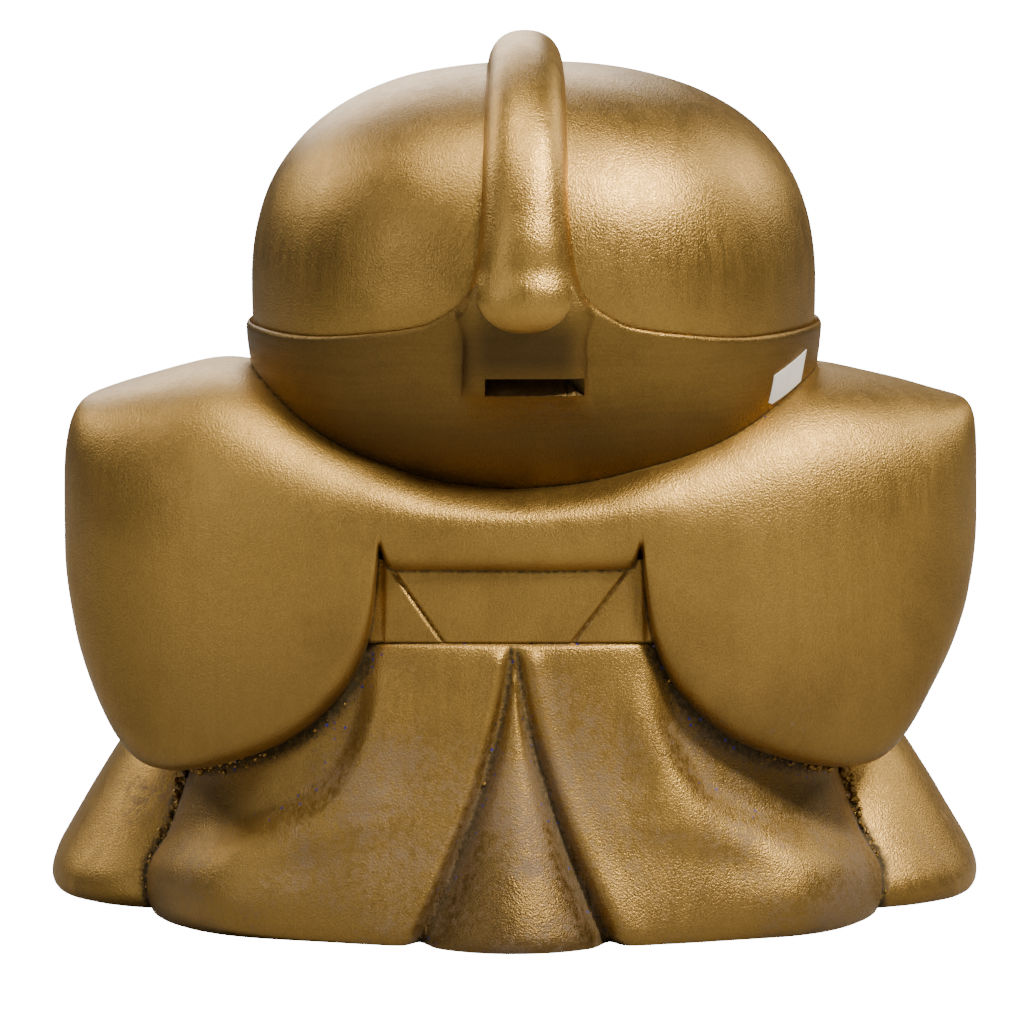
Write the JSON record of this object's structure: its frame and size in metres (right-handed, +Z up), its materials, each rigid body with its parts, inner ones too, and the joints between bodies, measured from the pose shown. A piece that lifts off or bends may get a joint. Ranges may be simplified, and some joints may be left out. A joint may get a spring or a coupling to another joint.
{
  "type": "kneeling good-luck figure coin bank",
  "caption": "Gold-painted plaster coin bank in the form of a kneeling big-headed figure in winged formal dress, coin slot behind the head and a rubber stopper below.",
  "frame": {"origin": "centre of the bounding box, on the surface that the figure stands on", "axes": "+Z up, the figure faces -Y, +X to its left"},
  "size_m": [0.317, 0.23, 0.2924],
  "materials": {
    "gold_skin": "brushed metallic gold paint on cast plaster",
    "gold_hair": "brushed metallic gold paint on cast plaster, darker in the steps",
    "gold_vest": "brushed metallic gold paint on cast plaster, worn low down",
    "gold_robe": "metallic gold paint on cast plaster, sandy, with purple-grey wear in the folds",
    "gold_knees": "metallic gold paint on cast plaster, sandy along the joints",
    "gold_dress": "metallic gold paint on cast plaster",
    "bare_plaster": "bare dry plaster",
    "stopper_rubber": "matt black rubber",
    "label_paper": "blank white paper sticker"
  },
  "bodies": {
    "figure": {"robe_body": "gold_robe", "base_plate": "bare_plaster", "left_knee": "gold_knees", "right_knee": "gold_knees", "left_wing": "gold_vest", "right_wing": "gold_vest", "back_panel": "gold_vest", "waist_board": "gold_vest", "left_lapel": "gold_vest", "right_lapel": "gold_vest", "collar": "gold_dress", "front_sash": "gold_dress", "left_sleeve": "gold_dress", "right_sleeve": "gold_dress", "left_hand": "gold_skin", "right_hand": "gold_skin", "head_shell": "gold_skin", "hair_band": "gold_hair", "topknot": "gold_hair", "left_ear": "gold_skin", "right_ear": "gold_skin", "price_label": "label_paper"},
    "stopper": {"coin_stopper": "stopper_rubber"}
  },
  "joints": [
    {"name": "stopper_pull", "type": "slide", "parent": "figure", "child": "stopper", "axis": [0, 0, -1], "range_m": [0, 0.02]}
  ]
}
